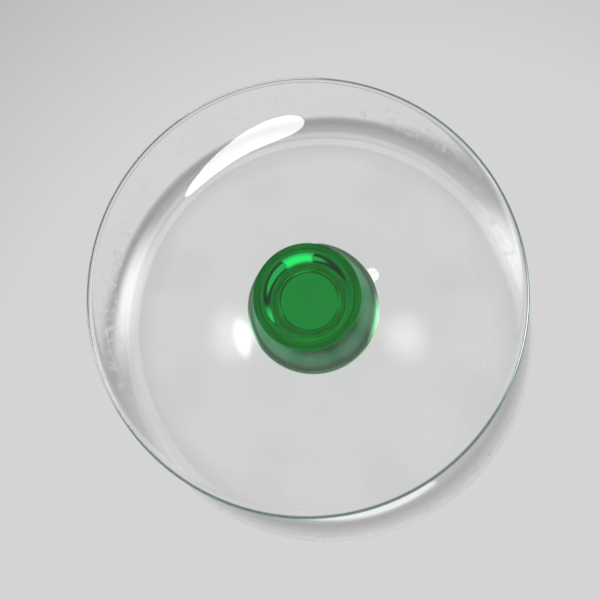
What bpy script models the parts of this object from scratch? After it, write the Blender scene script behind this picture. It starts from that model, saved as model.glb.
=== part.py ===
"""Sherbet glass: a clear foot, a short waisted green stem and a clear open bowl, fused at flat seams.

Metres, +Z up. The origin is the centre of the surface that the glass stands on, under its foot.
Each piece is turned about Z from a half outline, and stands on the piece below it.
"""

import math

import bmesh
import bpy
from mathutils import Vector

# Foot: a thin disc with a round edge, rising a little to the seat under the stem.
FOOT_DIAMETER = 0.075
FOOT_HEIGHT = 0.0045
FOOT_EDGE_THICKNESS = 0.0020
FOOT_EDGE_SLOPE = math.radians(5)
FOOT_SEAT_SLOPE = math.radians(8)
BEARING_RING_WIDTH = 0.0045
HOLLOW_DEPTH = 0.0010

# Stem: a solid spool, drawn in to a waist, with a steep lip at its seam with the foot and with the bowl.
STEM_HEIGHT = 0.0235
FOOT_SEAM_DIAMETER = 0.0186
FOOT_LIP_SLOPE = math.radians(75)
WAIST_DIAMETER = 0.0100
WAIST_HEIGHT = 0.012
BOWL_SEAM_DIAMETER = 0.0224
BOWL_LIP_SLOPE = math.radians(80)

# Bowl: a round cup, thick over the stem and thinning to a fire-polished rim with a slight flare.
BOWL_HEIGHT = 0.057
BOWL_BASE_SLOPE = math.radians(25)
RIM_DIAMETER = 0.090
RIM_WALL = 0.0013
RIM_FLARE = math.radians(6)
BASE_WALL = 0.0062
WALL_TAPER = 4

# Fullness of each curve: how far its first and last ends hold their direction, as shares of its chord.
HOLLOW_PULLS = (0.50, 0.35)
FOOT_TOP_PULLS = (0.40, 0.30)
STEM_LOWER_PULLS = (0.45, 0.45)
STEM_UPPER_PULLS = (0.45, 0.35)
BOWL_PULLS = (0.40, 0.42)
BOWL_FLOOR_PULLS = (0.35, 0.35)

# Glass as seen: linear colours, with no metal and a polished surface.
CLEAR_GLASS = (0.93, 0.95, 0.94, 1.0)
GREEN_GLASS = (0.02, 0.33, 0.10, 1.0)
GLASS_ROUGHNESS = 0.02
GLASS_IOR = 1.52

# Fineness of the faceted solids.
TURN_STEPS = 72
LONG_CURVE_STEPS = 12
SHORT_CURVE_STEPS = 6
EDGE_STEPS = 6
MERGE_DISTANCE = 1e-6
SHARP_ANGLE = math.radians(30)

UPWARD = math.radians(90)
HALF_TURN = math.radians(180)


def heading(angle):
    """A unit step in the outline's plane, as (radius, height), at an angle above the outward direction."""
    return Vector((math.cos(angle), math.sin(angle)))


def sweep(start, leaving, end, arriving, pulls, steps):
    """A smooth curve that leaves start and reaches end at the given angles, both ends included."""
    chord = (end - start).length
    start_handle = start + heading(leaving) * pulls[0] * chord
    end_handle = end - heading(arriving) * pulls[1] * chord
    points = []
    for step in range(steps + 1):
        along = step / steps
        back = 1 - along
        points.append(
            start * back**3
            + start_handle * 3 * back**2 * along
            + end_handle * 3 * back * along**2
            + end * along**3
        )
    return points


def round_over(centre, radius, first_angle, last_angle, steps):
    """An arc of the outline, both ends included."""
    turn = (last_angle - first_angle) / steps
    return [centre + heading(first_angle + turn * step) * radius for step in range(steps + 1)]


def thickened(curve, wall_at):
    """The curve moved to its left by wall_at(share of the way along), end to end."""
    inner = []
    last = len(curve) - 1
    for index, point in enumerate(curve):
        ahead = curve[min(index + 1, last)] - curve[max(index - 1, 0)]
        leftward = Vector((-ahead.y, ahead.x)).normalized()
        inner.append(point + leftward * wall_at(index / last))
    return inner


def foot_outline():
    """From the middle of the hollow underside, out round the edge, and back over the top to the seat."""
    edge_radius = FOOT_EDGE_THICKNESS / 2
    edge_centre = Vector((FOOT_DIAMETER / 2 - edge_radius, edge_radius))
    ring_inside = Vector((edge_centre.x - BEARING_RING_WIDTH, 0))
    hollow = sweep(Vector((0, HOLLOW_DEPTH)), 0, ring_inside, 0, HOLLOW_PULLS, SHORT_CURVE_STEPS)
    edge = round_over(edge_centre, edge_radius, -UPWARD, UPWARD - FOOT_EDGE_SLOPE, EDGE_STEPS)
    seat_edge = Vector((FOOT_SEAM_DIAMETER / 2, FOOT_HEIGHT))
    top = sweep(edge[-1], HALF_TURN - FOOT_EDGE_SLOPE, seat_edge, HALF_TURN - FOOT_SEAT_SLOPE,
                FOOT_TOP_PULLS, LONG_CURVE_STEPS)
    seat_middle = Vector((0, FOOT_HEIGHT))
    return hollow + edge + top[1:] + [seat_middle]


def stem_outline():
    """From the middle of the foot seam, out, up through the waist and back to the middle of the bowl seam."""
    foot_end = Vector((FOOT_SEAM_DIAMETER / 2, 0))
    waist = Vector((WAIST_DIAMETER / 2, WAIST_HEIGHT))
    bowl_end = Vector((BOWL_SEAM_DIAMETER / 2, STEM_HEIGHT))
    lower = sweep(foot_end, HALF_TURN - FOOT_LIP_SLOPE, waist, UPWARD, STEM_LOWER_PULLS, SHORT_CURVE_STEPS)
    upper = sweep(waist, UPWARD, bowl_end, BOWL_LIP_SLOPE, STEM_UPPER_PULLS, LONG_CURVE_STEPS)
    return [Vector((0, 0))] + lower + upper[1:] + [Vector((0, STEM_HEIGHT))]


def bowl_wall(share):
    """The wall's thickness at a share of the way from the stem to the rim."""
    return RIM_WALL + (BASE_WALL - RIM_WALL) * (1 - share) ** WALL_TAPER


def bowl_outline():
    """From the middle of the stem seam, up the outside, over the rim and down the inside to the axis."""
    rim_radius = RIM_WALL / 2
    rim_centre = Vector((RIM_DIAMETER / 2 - rim_radius, BOWL_HEIGHT - rim_radius))
    rim = round_over(rim_centre, rim_radius, -RIM_FLARE, HALF_TURN - RIM_FLARE, EDGE_STEPS)
    seam_edge = Vector((BOWL_SEAM_DIAMETER / 2, 0))
    outside = sweep(seam_edge, BOWL_BASE_SLOPE, rim[0], UPWARD - RIM_FLARE, BOWL_PULLS, LONG_CURVE_STEPS)
    inside = thickened(outside, bowl_wall)
    inside.reverse()
    outward = inside[-2] - inside[-1]
    floor_slope = math.atan2(outward.y, outward.x)
    floor_middle = Vector((0, inside[-1].y - inside[-1].x * math.tan(floor_slope) / 2))
    floor = sweep(inside[-1], HALF_TURN + floor_slope, floor_middle, HALF_TURN, BOWL_FLOOR_PULLS,
                  SHORT_CURVE_STEPS)
    return [Vector((0, 0))] + outside + rim[1:-1] + inside + floor[1:]


def glass(name, colour):
    """A polished see-through glass."""
    material = bpy.data.materials.new(name)
    material.use_nodes = True
    shader = material.node_tree.nodes["Principled BSDF"]
    shader.inputs["Base Color"].default_value = colour
    shader.inputs["Metallic"].default_value = 0.0
    shader.inputs["Roughness"].default_value = GLASS_ROUGHNESS
    shader.inputs["IOR"].default_value = GLASS_IOR
    shader.inputs["Transmission Weight"].default_value = 1.0
    material.diffuse_color = colour
    return material


def turned(name, outline, material, stands_on, height):
    """A solid of revolution from an outline that starts and ends on the axis, standing on another piece."""
    shape = bmesh.new()
    points = [shape.verts.new((point.x, 0, point.y)) for point in outline]
    edges = [shape.edges.new(pair) for pair in zip(points, points[1:])]
    bmesh.ops.spin(shape, geom=points + edges, cent=(0, 0, 0), axis=(0, 0, 1), angle=2 * math.pi,
                   steps=TURN_STEPS, use_merge=True)
    bmesh.ops.remove_doubles(shape, verts=shape.verts, dist=MERGE_DISTANCE)
    bmesh.ops.recalc_face_normals(shape, faces=shape.faces)
    mesh = bpy.data.meshes.new(name)
    shape.to_mesh(mesh)
    shape.free()
    mesh.shade_smooth()
    mesh.set_sharp_from_angle(angle=SHARP_ANGLE)
    mesh.materials.append(material)
    piece = bpy.data.objects.new(name, mesh)
    piece.parent = stands_on
    piece.location.z = height
    bpy.context.scene.collection.objects.link(piece)
    return piece


def main():
    """Clears the scene and stacks the three pieces."""
    for old in list(bpy.data.objects):
        bpy.data.objects.remove(old, do_unlink=True)
    foot = turned("foot", foot_outline(), glass("foot_glass", CLEAR_GLASS), None, 0)
    stem = turned("stem", stem_outline(), glass("stem_glass", GREEN_GLASS), foot, FOOT_HEIGHT)
    turned("bowl", bowl_outline(), glass("bowl_glass", CLEAR_GLASS), stem, STEM_HEIGHT)


main()
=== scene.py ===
"""Sherbet glass: the finished pieces, their glass, and the studio they are seen in.

Metres, in the part's own frame: +Z up along the axis of the glass, with the foot standing on
z = 0. The photograph looks at the underside of the foot, so the camera is below the glass and
looks up.
"""

from __future__ import annotations

import logging
import math
from abc import ABC, abstractmethod
from collections.abc import Callable
from dataclasses import dataclass, field
from enum import Enum

import bmesh
import bpy
from mathutils import Matrix, Vector


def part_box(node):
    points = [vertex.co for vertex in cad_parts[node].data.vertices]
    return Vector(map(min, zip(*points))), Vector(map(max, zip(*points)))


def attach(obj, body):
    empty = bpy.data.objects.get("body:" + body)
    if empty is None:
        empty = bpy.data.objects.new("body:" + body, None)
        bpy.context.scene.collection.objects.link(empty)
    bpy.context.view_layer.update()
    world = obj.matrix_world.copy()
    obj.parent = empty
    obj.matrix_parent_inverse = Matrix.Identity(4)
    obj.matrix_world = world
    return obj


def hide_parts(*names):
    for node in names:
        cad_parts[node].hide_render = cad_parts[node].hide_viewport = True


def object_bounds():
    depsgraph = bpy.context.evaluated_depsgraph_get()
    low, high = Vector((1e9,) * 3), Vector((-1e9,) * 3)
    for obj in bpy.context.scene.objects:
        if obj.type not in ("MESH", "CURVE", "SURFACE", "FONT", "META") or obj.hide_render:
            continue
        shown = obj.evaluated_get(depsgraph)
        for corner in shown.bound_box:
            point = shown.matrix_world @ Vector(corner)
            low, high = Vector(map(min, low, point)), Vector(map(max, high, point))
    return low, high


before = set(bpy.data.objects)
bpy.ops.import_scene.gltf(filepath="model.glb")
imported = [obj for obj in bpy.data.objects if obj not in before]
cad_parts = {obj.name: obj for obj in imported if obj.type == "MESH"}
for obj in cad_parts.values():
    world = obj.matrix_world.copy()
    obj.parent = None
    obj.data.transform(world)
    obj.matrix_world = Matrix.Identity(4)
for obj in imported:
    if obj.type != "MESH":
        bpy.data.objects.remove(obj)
CAD_LOW, CAD_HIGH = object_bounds()

LOG = logging.getLogger("sherbet_glass")
BODY = "root"
SEAM_MARK = "seam"

UPWARD = math.radians(90)
HALF_TURN = math.radians(180)
SHARP_ANGLE = math.radians(30)
MERGE_DISTANCE = 1e-7

# A Mix node's colour sockets, by number, because its sockets share their names.
MIX_FIRST = 6
MIX_SECOND = 7
MIX_RESULT = 2

# The middle of a lamp's face, in each direction, in the face's own measure from 0 to 1.
LAMP_MIDDLE = 0.5

# Light that has met no matt surface yet has a diffuse depth below this.
BEFORE_MATT = 0.5

Outline = list[Vector]
Colour = tuple[float, float, float, float]
Place = tuple[float, float, float]
Span = tuple[float, float]


class Fineness(Enum):
    """How many steps each kind of line takes in the finished meshes."""

    TURN = 192
    LONG_CURVE = 56
    SHORT_CURVE = 28
    EDGE = 14


def heading(angle: float) -> Vector:
    """A unit step in the outline's plane, (radius, height), at an angle above outward."""
    return Vector((math.cos(angle), math.sin(angle)))


def sweep(
    start: Vector,
    leaving: float,
    end: Vector,
    arriving: float,
    pulls: Span,
    fineness: Fineness,
) -> Outline:
    """A smooth curve between two points of an outline.

    Args:
        start: first point, as (radius, height).
        leaving: angle at which the curve leaves the first point.
        end: last point.
        arriving: angle at which the curve reaches the last point.
        pulls: how far the first and last ends hold their direction, as shares of the chord.
        fineness: kind of line, which gives the number of steps.

    Returns:
        The points of the curve, both ends included.
    """
    chord = (end - start).length
    start_handle = start + heading(leaving) * pulls[0] * chord
    end_handle = end - heading(arriving) * pulls[1] * chord
    points = []
    for step in range(fineness.value + 1):
        along = step / fineness.value
        back = 1 - along
        points.append(
            start * back**3
            + start_handle * 3 * back**2 * along
            + end_handle * 3 * back * along**2
            + end * along**3
        )
    return points


def round_over(
    centre: Vector, radius: float, first_angle: float, last_angle: float
) -> Outline:
    """An arc of an outline.

    Args:
        centre: centre of the arc, as (radius, height).
        radius: radius of the arc.
        first_angle: angle of the first point.
        last_angle: angle of the last point.

    Returns:
        The points of the arc, both ends included.
    """
    steps = Fineness.EDGE.value
    turn = (last_angle - first_angle) / steps
    return [centre + heading(first_angle + turn * step) * radius for step in range(steps + 1)]


def thickened(curve: Outline, wall_at: Callable[[float], float]) -> Outline:
    """Moves a curve to its left by a wall that varies along it.

    Args:
        curve: the points of the curve.
        wall_at: gives the wall at a share of the way along the curve.

    Returns:
        The moved points, in the same order.
    """
    inner = []
    last = len(curve) - 1
    for index, point in enumerate(curve):
        ahead = curve[min(index + 1, last)] - curve[max(index - 1, 0)]
        leftward = Vector((-ahead.y, ahead.x)).normalized()
        inner.append(point + leftward * wall_at(index / last))
    return inner


class NodeTree:
    """A shader's nodes, with short ways to add and join them."""

    def __init__(self, tree: bpy.types.NodeTree) -> None:
        """Keeps the tree that the nodes go into."""
        self.tree = tree

    def add(self, kind: str, **settings: object) -> bpy.types.Node:
        """Adds a node.

        Args:
            kind: the node's type, without its ShaderNode prefix.
            settings: properties of the node, by name.

        Returns:
            The new node.
        """
        node = self.tree.nodes.new("ShaderNode" + kind)
        for name, value in settings.items():
            setattr(node, name, value)
        return node

    def join(self, source: bpy.types.NodeSocket, target: bpy.types.NodeSocket) -> None:
        """Links an output to an input."""
        self.tree.links.new(source, target)

    def feed(
        self, target: bpy.types.NodeSocket, value: bpy.types.NodeSocket | float
    ) -> None:
        """Links a socket, or sets a plain number, on an input.

        Args:
            target: the input.
            value: the socket or the number.
        """
        if isinstance(value, bpy.types.NodeSocket):
            self.join(value, target)
        else:
            target.default_value = value

    def math(
        self,
        operation: str,
        first: bpy.types.NodeSocket | float,
        second: bpy.types.NodeSocket | float = 0.0,
        third: bpy.types.NodeSocket | float = 0.0,
    ) -> bpy.types.NodeSocket:
        """Adds a sum.

        Args:
            operation: the Math node's operation.
            first: first number or socket.
            second: second number or socket.
            third: third number or socket, for the operations that take one.

        Returns:
            The result's socket.
        """
        node = self.add("Math", operation=operation)
        for target, value in zip(node.inputs, (first, second, third)):
            self.feed(target, value)
        return node.outputs[0]

    def reach(
        self, across: bpy.types.NodeSocket, along: bpy.types.NodeSocket
    ) -> bpy.types.NodeSocket:
        """The length of a step that goes so far across and so far along.

        Args:
            across: how far it goes one way.
            along: how far it goes at right angles to that.

        Returns:
            The length's socket.
        """
        along_squared = self.math("MULTIPLY", along, along)
        return self.math("SQRT", self.math("MULTIPLY_ADD", across, across, along_squared))

    def between(
        self,
        value: bpy.types.NodeSocket,
        low: float,
        high: float,
        at_low: float = 0.0,
        at_high: float = 1.0,
    ) -> bpy.types.NodeSocket:
        """A smooth step from one number to another.

        Args:
            value: what is measured.
            low: where the step starts.
            high: where the step ends.
            at_low: result up to the start.
            at_high: result past the end.

        Returns:
            The result's socket.
        """
        node = self.add("MapRange", interpolation_type="SMOOTHSTEP")
        self.join(value, node.inputs["Value"])
        node.inputs["From Min"].default_value = low
        node.inputs["From Max"].default_value = high
        node.inputs["To Min"].default_value = at_low
        node.inputs["To Max"].default_value = at_high
        return node.outputs["Result"]

    def noise(
        self, place: bpy.types.NodeSocket, size: float, detail: float
    ) -> bpy.types.NodeSocket:
        """A cloudy pattern.

        Args:
            place: where the pattern is read.
            size: length of one cloud, in the units of place.
            detail: how many finer layers are added.

        Returns:
            The pattern's socket, about 0 to 1.
        """
        node = self.add("TexNoise")
        self.join(place, node.inputs["Vector"])
        node.inputs["Scale"].default_value = 1 / size
        node.inputs["Detail"].default_value = detail
        return node.outputs["Fac"]


@dataclass(frozen=True)
class Patches:
    """A cloudy pattern cut into patches, which start at one level and are full at another."""

    size: float
    detail: float
    starts: float
    full: float

    def mask(self, nodes: NodeTree, place: bpy.types.NodeSocket) -> bpy.types.NodeSocket:
        """Where the patches are: 0 between them and 1 where they are full."""
        return nodes.between(nodes.noise(place, self.size, self.detail), self.starts, self.full)


@dataclass(frozen=True)
class Batch:
    """The colour of a batch of glass: at its skin, in its depth, and how strong the depth is."""

    skin: Colour
    depth: Colour
    strength: float


class Tint(Enum):
    """The two batches of glass."""

    CLEAR = Batch((1.0, 1.0, 1.0, 1.0), (0.80, 0.93, 0.88, 1.0), 4.0)
    EMERALD = Batch((0.50, 0.90, 0.56, 1.0), (0.60, 0.932, 0.815, 1.0), 600.0)


@dataclass(frozen=True)
class GlassFinish:
    """Polished, slowly rippled glass with traces of use: a film, and a ring of scuffs and arcs."""

    slot: str
    tint: Tint
    worn_inside: float
    worn_outside: float
    worn_fade: float = 0.25
    bend: float = 1.5
    polish: float = 0.004
    film: Patches = Patches(size=0.014, detail=6.0, starts=0.44, full=0.80)
    film_roughness: float = 0.05
    film_colour: Colour = (0.955, 0.962, 0.955, 1.0)
    ripple_size: float = 0.021
    ripple_detail: float = 1.0
    ripple_height: float = 0.000012
    scuffs: Patches = Patches(size=0.0016, detail=6.0, starts=0.52, full=0.70)
    scuff_roughness: float = 0.20
    hairlines: Patches = Patches(size=1.0, detail=2.0, starts=0.58, full=0.70)
    hairline_pitch: float = 0.00035
    hairlines_per_turn: float = 5.0
    hairline_roughness: float = 0.16

    def material(self) -> bpy.types.Material:
        """Makes the glass.

        Returns:
            The material.
        """
        material = bpy.data.materials.new(self.slot)
        material.use_nodes = True
        nodes = NodeTree(material.node_tree)
        shader = material.node_tree.nodes["Principled BSDF"]
        shader.inputs["Metallic"].default_value = 0.0
        shader.inputs["Transmission Weight"].default_value = 1.0
        place = nodes.add("TexCoord").outputs["Object"]
        self.surface(nodes, shader, place)
        self.ripples(nodes, shader, place)
        seam = nodes.add("Attribute", attribute_name=SEAM_MARK).outputs["Fac"]
        bend = nodes.math("MULTIPLY_ADD", seam, 1.0 - self.bend, self.bend)
        nodes.join(bend, shader.inputs["IOR"])
        body = nodes.add("VolumeAbsorption")
        body.inputs["Color"].default_value = self.tint.value.depth
        body.inputs["Density"].default_value = self.tint.value.strength
        out = material.node_tree.nodes["Material Output"]
        nodes.join(body.outputs["Volume"], out.inputs["Volume"])
        return material

    def surface(
        self, nodes: NodeTree, shader: bpy.types.Node, place: bpy.types.NodeSocket
    ) -> None:
        """Dulls the polish by the film and the wear, and greys the glass a little under the film.

        Args:
            nodes: the material's nodes.
            shader: the glass's main shader.
            place: position on the piece.
        """
        film = self.film.mask(nodes, place)
        roughness = nodes.math("MULTIPLY_ADD", film, self.film_roughness, self.polish)
        roughness = nodes.math("ADD", roughness, self.wear(nodes, place))
        nodes.join(roughness, shader.inputs["Roughness"])
        skin = self.tint.value.skin
        greyed = [share * part for share, part in zip(skin, self.film_colour)]
        tone = nodes.add("Mix", data_type="RGBA")
        nodes.join(film, tone.inputs["Factor"])
        tone.inputs[MIX_FIRST].default_value = skin
        tone.inputs[MIX_SECOND].default_value = greyed
        nodes.join(tone.outputs[MIX_RESULT], shader.inputs["Base Color"])

    def ripples(
        self, nodes: NodeTree, shader: bpy.types.Node, place: bpy.types.NodeSocket
    ) -> None:
        """Waves the surface by about a hundredth of a millimetre, as worked glass is.

        Args:
            nodes: the material's nodes.
            shader: the glass's main shader.
            place: position on the piece.
        """
        waves = nodes.noise(place, self.ripple_size, self.ripple_detail)
        bump = nodes.add("Bump")
        bump.inputs["Strength"].default_value = 1.0
        bump.inputs["Distance"].default_value = self.ripple_height
        nodes.join(waves, bump.inputs["Height"])
        nodes.join(bump.outputs["Normal"], shader.inputs["Normal"])

    def wear(self, nodes: NodeTree, place: bpy.types.NodeSocket) -> bpy.types.NodeSocket:
        """The roughness of a ring round the axis where the glass rubs: scuffs, and fine arcs.

        Args:
            nodes: the material's nodes.
            place: position on the piece.

        Returns:
            The added roughness.
        """
        apart = nodes.add("SeparateXYZ")
        nodes.join(place, apart.inputs[0])
        across = apart.outputs["X"]
        along = apart.outputs["Y"]
        radius = nodes.reach(across, along)
        fade = (self.worn_outside - self.worn_inside) * self.worn_fade
        ring = nodes.math(
            "MULTIPLY",
            nodes.between(radius, self.worn_inside, self.worn_inside + fade),
            nodes.between(radius, self.worn_outside - fade, self.worn_outside, 1.0, 0.0),
        )
        turn = nodes.math("ARCTAN2", along, across)
        polar = nodes.add("CombineXYZ")
        nodes.join(nodes.math("DIVIDE", radius, self.hairline_pitch), polar.inputs["X"])
        lengths = nodes.math("MULTIPLY", turn, self.hairlines_per_turn / math.tau)
        nodes.join(lengths, polar.inputs["Y"])
        arcs = self.hairlines.mask(nodes, polar.outputs["Vector"])
        marks = nodes.math("MULTIPLY", self.scuffs.mask(nodes, place), self.scuff_roughness)
        marks = nodes.math("MULTIPLY_ADD", arcs, self.hairline_roughness, marks)
        return nodes.math("MULTIPLY", ring, marks)


@dataclass
class TurnedGlass(ABC):
    """A piece of glass turned about the axis, which stands for one node of the part."""

    node: str
    finish: GlassFinish
    seam_gap: float = 0.00002
    low: Vector = field(init=False)
    high: Vector = field(init=False)

    def __post_init__(self) -> None:
        """Takes the node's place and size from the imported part."""
        self.low, self.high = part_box(self.node)

    @property
    def height(self) -> float:
        """The piece's height."""
        return self.high.z - self.low.z

    @property
    def radius(self) -> float:
        """The piece's largest radius."""
        return (self.high.x - self.low.x) / 2

    @abstractmethod
    def outline(self) -> Outline:
        """The half outline, from the axis under the piece round to the axis on top of it."""

    @abstractmethod
    def seams(self) -> list[float]:
        """The heights of the piece's fused faces, above its own lowest point."""

    def build(self) -> bpy.types.Object:
        """Turns the outline about the axis.

        Returns:
            The piece, with its fused faces marked.
        """
        shape = bmesh.new()
        points = [
            shape.verts.new((point.x, 0, point.y + self.low.z)) for point in self.outline()
        ]
        edges = [shape.edges.new(pair) for pair in zip(points, points[1:])]
        bmesh.ops.spin(
            shape, geom=points + edges, cent=(0, 0, 0), axis=(0, 0, 1), angle=math.tau,
            steps=Fineness.TURN.value, use_merge=True,
        )
        bmesh.ops.remove_doubles(shape, verts=shape.verts, dist=MERGE_DISTANCE)
        bmesh.ops.recalc_face_normals(shape, faces=shape.faces)
        self.mark_seams(shape)
        mesh = bpy.data.meshes.new(self.node + "_glass")
        shape.to_mesh(mesh)
        shape.free()
        piece = bpy.data.objects.new(self.node + "_glass", mesh)
        bpy.context.scene.collection.objects.link(piece)
        return piece

    def mark_seams(self, shape: bmesh.types.BMesh) -> None:
        """Marks the fused faces, smooths the shading and keeps the edges between them sharp.

        Args:
            shape: the turned piece.
        """
        mark = shape.faces.layers.float.new(SEAM_MARK)
        heights = [self.low.z + seam for seam in self.seams()]
        for face in shape.faces:
            face.smooth = True
            spread = [max(abs(vert.co.z - height) for vert in face.verts) for height in heights]
            if min(spread) < MERGE_DISTANCE:
                face[mark] = 1.0
        for edge in shape.edges:
            fused = [face[mark] for face in edge.link_faces]
            flowing = edge.calc_face_angle(0.0) < SHARP_ANGLE
            edge.smooth = min(fused) == max(fused) and flowing

    def dress(self, piece: bpy.types.Object) -> None:
        """Gives the piece its glass, and puts it in the node's place.

        Args:
            piece: the turned piece.
        """
        piece.data.materials.append(self.finish.material())
        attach(piece, BODY)
        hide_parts(self.node)


@dataclass
class Foot(TurnedGlass):
    """A thin clear disc with a round edge, a hollow underside and a flat seat for the stem."""

    edge_thickness: float = 0.0020
    edge_slope: float = math.radians(5)
    seat_slope: float = math.radians(8)
    seat_diameter: float = 0.0186
    ring_width: float = 0.0045
    hollow_depth: float = 0.0010
    hollow_pulls: Span = (0.50, 0.35)
    top_pulls: Span = (0.40, 0.30)

    def outline(self) -> Outline:
        """The foot's half outline.

        Returns:
            Points from the middle of the hollow, out round the edge, and back over the top to
            the seat.
        """
        edge_radius = self.edge_thickness / 2
        edge_centre = Vector((self.radius - edge_radius, edge_radius))
        ring_inside = Vector((edge_centre.x - self.ring_width, 0))
        hollow_middle = Vector((0, self.hollow_depth))
        hollow = sweep(
            hollow_middle, 0, ring_inside, 0, self.hollow_pulls, Fineness.SHORT_CURVE
        )
        edge = round_over(edge_centre, edge_radius, -UPWARD, UPWARD - self.edge_slope)
        seat = self.seams()[0]
        seat_edge = Vector((self.seat_diameter / 2, seat))
        top = sweep(
            edge[-1], HALF_TURN - self.edge_slope, seat_edge, HALF_TURN - self.seat_slope,
            self.top_pulls, Fineness.LONG_CURVE,
        )
        return hollow + edge + top[1:] + [Vector((0, seat))]

    def seams(self) -> list[float]:
        """The seat under the stem."""
        return [self.height - self.seam_gap / 2]


@dataclass
class Stem(TurnedGlass):
    """A solid green spool, drawn in to a waist, with a steep lip at each end."""

    foot_seam_diameter: float = 0.0186
    foot_lip_slope: float = math.radians(75)
    waist_diameter: float = 0.0100
    waist_height: float = 0.012
    bowl_lip_slope: float = math.radians(80)
    lower_pulls: Span = (0.45, 0.45)
    upper_pulls: Span = (0.45, 0.35)

    def outline(self) -> Outline:
        """The stem's half outline.

        Returns:
            Points from the middle of the foot seam, out, up through the waist and back to the
            middle on top.
        """
        bottom, top = self.seams()
        foot_end = Vector((self.foot_seam_diameter / 2, bottom))
        waist = Vector((self.waist_diameter / 2, self.waist_height))
        bowl_end = Vector((self.radius, top))
        lower = sweep(
            foot_end, HALF_TURN - self.foot_lip_slope, waist, UPWARD,
            self.lower_pulls, Fineness.SHORT_CURVE,
        )
        upper = sweep(
            waist, UPWARD, bowl_end, self.bowl_lip_slope,
            self.upper_pulls, Fineness.LONG_CURVE,
        )
        return [Vector((0, bottom))] + lower + upper[1:] + [Vector((0, top))]

    def seams(self) -> list[float]:
        """Both ends."""
        return [self.seam_gap / 2, self.height - self.seam_gap / 2]


@dataclass
class Bowl(TurnedGlass):
    """A clear round cup, thick over the stem and thinning to a rim with a slight flare."""

    seam_diameter: float = 0.0224
    base_slope: float = math.radians(25)
    base_wall: float = 0.0062
    rim_wall: float = 0.0013
    rim_flare: float = math.radians(6)
    wall_taper: int = 4
    side_pulls: Span = (0.40, 0.42)
    floor_pulls: Span = (0.35, 0.35)

    def wall(self, share: float) -> float:
        """The wall at a share of the way from the stem to the rim."""
        return self.rim_wall + (self.base_wall - self.rim_wall) * (1 - share) ** self.wall_taper

    def outline(self) -> Outline:
        """The bowl's half outline.

        Returns:
            Points from the middle of the seam, up the outside, over the rim and down the inside
            to the axis.
        """
        base = self.seams()[0]
        rim_radius = self.rim_wall / 2
        rim_centre = Vector((self.radius - rim_radius, self.height - rim_radius))
        rim = round_over(rim_centre, rim_radius, -self.rim_flare, HALF_TURN - self.rim_flare)
        seam_edge = Vector((self.seam_diameter / 2, base))
        outside = sweep(
            seam_edge, self.base_slope, rim[0], UPWARD - self.rim_flare,
            self.side_pulls, Fineness.LONG_CURVE,
        )
        inside = thickened(outside, self.wall)
        inside.reverse()
        outward = inside[-2] - inside[-1]
        floor_slope = math.atan2(outward.y, outward.x)
        floor_middle = Vector((0, inside[-1].y - inside[-1].x * math.tan(floor_slope) / 2))
        floor = sweep(
            inside[-1], HALF_TURN + floor_slope, floor_middle, HALF_TURN,
            self.floor_pulls, Fineness.SHORT_CURVE,
        )
        return [Vector((0, base))] + outside + rim[1:-1] + inside + floor[1:]

    def seams(self) -> list[float]:
        """The flat under the bowl, on the stem."""
        return [self.seam_gap / 2]


class LampFace(Enum):
    """The shape of a lamp's lit face, with the share of its width times height that it fills."""

    RECTANGLE = 1.0
    ELLIPSE = math.pi / 4


@dataclass(frozen=True)
class Softbox:
    """A studio lamp. Its brightness is as seen, where white paper is 1.

    The feather is the share of its half width over which it fades to its edge.
    """

    name: str
    place: Place
    width: float
    height: float
    brightness: float
    face: LampFace = LampFace.ELLIPSE
    feather: float = 0.0
    aim: Place = (0.0, 0.0, 0.03)

    def build(self) -> bpy.types.Object:
        """Hangs the lamp.

        Returns:
            The lamp's object.
        """
        light = bpy.data.lights.new(self.name, "AREA")
        light.shape = self.face.name
        light.size = self.width
        light.size_y = self.height
        light.energy = math.pi * self.brightness * self.width * self.height * self.face.value
        if self.feather > 0.0:
            self.fade(light)
        lamp = bpy.data.objects.new(self.name, light)
        lamp.location = self.place
        direction = Vector(self.aim) - Vector(self.place)
        lamp.rotation_euler = direction.to_track_quat("-Z", "Y").to_euler()
        bpy.context.scene.collection.objects.link(lamp)
        return lamp

    def fade(self, light: bpy.types.Light) -> None:
        """Fades the lamp towards its edge.

        Args:
            light: the lamp's light.
        """
        light.use_nodes = True
        nodes = NodeTree(light.node_tree)
        apart = nodes.add("SeparateXYZ")
        nodes.join(nodes.add("NewGeometry").outputs["Parametric"], apart.inputs[0])
        across = nodes.math("SUBTRACT", apart.outputs["X"], LAMP_MIDDLE)
        along = nodes.math("SUBTRACT", apart.outputs["Y"], LAMP_MIDDLE)
        outward = nodes.math("DIVIDE", nodes.reach(across, along), LAMP_MIDDLE)
        strength = nodes.between(outward, 1.0 - self.feather, 1.0, 1.0, 0.0)
        nodes.join(strength, light.node_tree.nodes["Emission"].inputs["Strength"])


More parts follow.
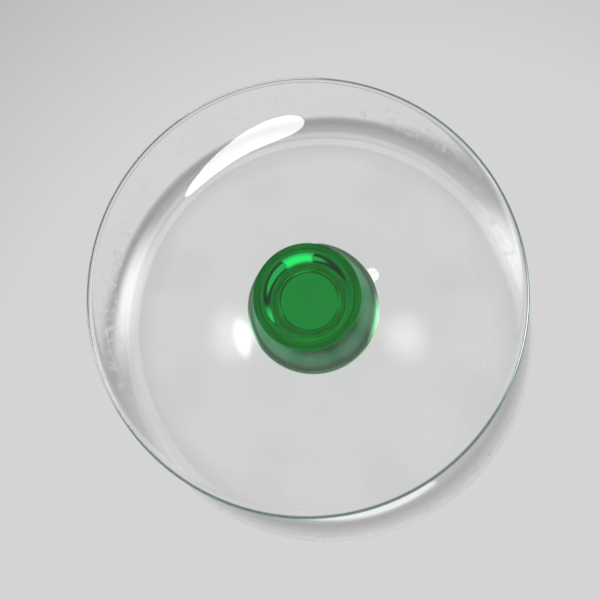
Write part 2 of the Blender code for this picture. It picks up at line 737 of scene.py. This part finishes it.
@dataclass
class Studio:
    """A pale floor, a pale surround and soft lamps above and below the level of the floor.

    The tones of the surround go from straight down, at 0, to straight up, at 1. The cards are
    grey, stand upright all round, and fade at their sides and their ends.
    """

    floor_reach: float = 1.5
    floor_fade: float = 0.35
    floor_drop: float = 0.0002
    floor_colour: Colour = (0.78, 0.78, 0.77, 1.0)
    floor_roughness: float = 0.9
    ambient_colour: Colour = (1.0, 1.0, 1.0, 1.0)
    ambient: float = 0.70
    tones: tuple[Span, ...] = (
        (0.0, 0.55), (0.42, 0.62), (0.62, 0.64), (0.72, 0.08), (0.756, 0.08),
        (0.764, 0.95), (0.806, 0.95), (0.814, 0.08), (0.92, 0.08), (0.985, 0.66),
    )
    cards: int = 8
    card_grey: float = 0.15
    card_sides: Span = (0.1, -0.9)
    card_ends: Span = (0.08, 0.30)
    bounces: int = 32
    lamps: tuple[Softbox, ...] = (
        Softbox("key", (-1.10, -0.30, 1.12), 1.00, 1.00, 1.5, feather=0.9),
        Softbox("fill", (1.00, -0.50, 1.00), 0.90, 0.90, 1.5, feather=0.9),
        Softbox("back_light", (0.30, 1.20, 1.10), 0.90, 0.60, 1.2, LampFace.RECTANGLE),
        Softbox("low_glow_left", (-0.95, 0.14, -0.54), 0.90, 0.70, 5.0, feather=0.95),
        Softbox("low_core_left", (-0.90, 0.20, -0.595), 0.62, 0.20, 10.0, feather=0.7),
        Softbox("low_glow_right", (0.95, 0.18, -0.55), 0.80, 0.62, 4.5, feather=0.95),
        Softbox("low_spot_right", (0.66, -0.57, -0.67), 0.20, 0.12, 9.0),
        Softbox(
            "under_oval", (-0.082, -0.185, -1.0), 0.042, 0.098, 14.0, aim=(-0.155, 0.0, 0.03)
        ),
    )

    def build(self) -> None:
        """Makes the floor, the surround and the lamps, and lets light pass all the glass."""
        self.floor()
        self.surround()
        for lamp in self.lamps:
            lamp.build()
        cycles = bpy.context.scene.cycles
        cycles.max_bounces = self.bounces
        cycles.transmission_bounces = self.bounces
        cycles.glossy_bounces = self.bounces
        cycles.blur_glossy = 0.0
        bpy.context.scene.view_settings.view_transform = "Standard"

    def floor(self) -> bpy.types.Object:
        """A pale floor that fades out far off. It is seen from above only.

        Returns:
            The floor.
        """
        shape = bmesh.new()
        bmesh.ops.create_grid(shape, x_segments=1, y_segments=1, size=self.floor_reach)
        mesh = bpy.data.meshes.new("floor")
        shape.to_mesh(mesh)
        shape.free()
        mesh.materials.append(self.floor_material())
        floor = bpy.data.objects.new("floor", mesh)
        floor.location.z = CAD_LOW.z - self.floor_drop
        floor.visible_glossy = False
        bpy.context.scene.collection.objects.link(floor)
        return floor

    def floor_material(self) -> bpy.types.Material:
        """A matt pale finish that is clear from below, and clears away far from the glass.

        Returns:
            The material.
        """
        material = bpy.data.materials.new("floor")
        material.use_nodes = True
        nodes = NodeTree(material.node_tree)
        shader = material.node_tree.nodes["Principled BSDF"]
        shader.inputs["Base Color"].default_value = self.floor_colour
        shader.inputs["Roughness"].default_value = self.floor_roughness
        measure = nodes.add("VectorMath", operation="LENGTH")
        nodes.join(nodes.add("TexCoord").outputs["Object"], measure.inputs[0])
        far = nodes.between(measure.outputs["Value"], self.floor_fade, self.floor_reach)
        below = nodes.add("NewGeometry").outputs["Backfacing"]
        side = nodes.add("MixShader")
        nodes.join(nodes.math("MAXIMUM", far, below), side.inputs["Fac"])
        nodes.join(shader.outputs["BSDF"], side.inputs[1])
        nodes.join(nodes.add("BsdfTransparent").outputs["BSDF"], side.inputs[2])
        out = material.node_tree.nodes["Material Output"]
        nodes.join(side.outputs["Shader"], out.inputs["Surface"])
        return material

    def surround(self) -> None:
        """Plain light for the floor, and the toned surround for what is seen in the glass."""
        world = bpy.data.worlds.new("surround")
        bpy.context.scene.world = world
        world.use_nodes = True
        nodes = NodeTree(world.node_tree)
        light = world.node_tree.nodes["Background"]
        light.inputs["Color"].default_value = self.ambient_colour
        light.inputs["Strength"].default_value = self.ambient
        path = nodes.add("LightPath")
        shown = nodes.math("MAXIMUM", path.outputs["Is Camera Ray"], path.outputs["Is Glossy Ray"])
        shown = nodes.math("MAXIMUM", shown, path.outputs["Is Transmission Ray"])
        early = nodes.math("LESS_THAN", path.outputs["Diffuse Depth"], BEFORE_MATT)
        choice = nodes.add("MixShader")
        nodes.join(nodes.math("MULTIPLY", shown, early), choice.inputs["Fac"])
        nodes.join(light.outputs["Background"], choice.inputs[1])
        nodes.join(self.backdrop(nodes).outputs["Background"], choice.inputs[2])
        out = world.node_tree.nodes["World Output"]
        nodes.join(choice.outputs["Shader"], out.inputs["Surface"])

    def backdrop(self, nodes: NodeTree) -> bpy.types.Node:
        """The surround as it is seen: pale, with a dark belt, a bright band in it, and the cards.

        Args:
            nodes: the surround's nodes.

        Returns:
            The node that shows it.
        """
        apart = nodes.add("SeparateXYZ")
        nodes.join(nodes.add("TexCoord").outputs["Generated"], apart.inputs[0])
        rise = apart.outputs["Z"]
        ramp = nodes.add("ValToRGB")
        nodes.join(nodes.math("MULTIPLY_ADD", rise, 0.5, 0.5), ramp.inputs["Fac"])
        stops = ramp.color_ramp.elements
        while len(stops) < len(self.tones):
            stops.new(0.5)
        for stop, (position, grey) in zip(stops, self.tones):
            stop.position = position
            stop.color = (grey, grey, grey, 1.0)
        bearing = nodes.math("ARCTAN2", apart.outputs["Y"], apart.outputs["X"])
        round_about = nodes.math("COSINE", nodes.math("MULTIPLY", bearing, self.cards))
        upright = nodes.between(nodes.math("ABSOLUTE", rise), *self.card_ends, 1.0, 0.0)
        card = nodes.math("MULTIPLY", nodes.between(round_about, *self.card_sides), upright)
        seen = nodes.add("Background")
        nodes.join(ramp.outputs["Color"], seen.inputs["Color"])
        shade = nodes.math("MULTIPLY_ADD", card, self.card_grey - 1.0, 1.0)
        nodes.join(shade, seen.inputs["Strength"])
        return seen


@dataclass(frozen=True)
class PhotoCamera:
    """The photograph's view: from below the foot, and a few degrees off the axis."""

    place: Place = (0.0152, 0.0286, -0.2771)
    forward: Place = (-0.0582, -0.0995, 0.9933)
    picture_width: float = 600.0
    focal_pixels: float = 1657.0
    sensor: float = 36.0
    nearest: float = 0.01

    def build(self) -> bpy.types.Object:
        """Makes the camera, and makes it the scene's.

        Returns:
            The camera's object.
        """
        lens = bpy.data.cameras.new("photo_camera")
        lens.sensor_width = self.sensor
        lens.lens = self.focal_pixels / self.picture_width * self.sensor
        lens.clip_start = self.nearest
        camera = bpy.data.objects.new("photo_camera", lens)
        forward = Vector(self.forward).normalized()
        right = Vector((forward.z, 0.0, -forward.x)).normalized()
        upward = right.cross(forward)
        turn = Matrix((right, upward, -forward)).transposed()
        camera.matrix_world = Matrix.Translation(self.place) @ turn.to_4x4()
        bpy.context.scene.collection.objects.link(camera)
        bpy.context.scene.camera = camera
        return camera


def main() -> None:
    """Makes the camera, the pieces of glass and the studio."""
    logging.basicConfig(level=logging.INFO, format="%(name)s: %(message)s")
    PhotoCamera().build()
    under_foot = GlassFinish("foot_glass", Tint.CLEAR, worn_inside=0.0312, worn_outside=0.0370)
    stem_ends = GlassFinish("stem_glass", Tint.EMERALD, worn_inside=0.0080, worn_outside=0.0112)
    bowl_rim = GlassFinish("bowl_glass", Tint.CLEAR, worn_inside=0.0425, worn_outside=0.0452)
    pieces: list[TurnedGlass] = [
        Foot("foot", under_foot), Stem("stem", stem_ends), Bowl("bowl", bowl_rim)
    ]
    for maker in pieces:
        piece = maker.build()
        maker.dress(piece)
        LOG.info("%s: %d faces", piece.name, len(piece.data.polygons))
    Studio().build()


if __name__ == "__main__":
    main()
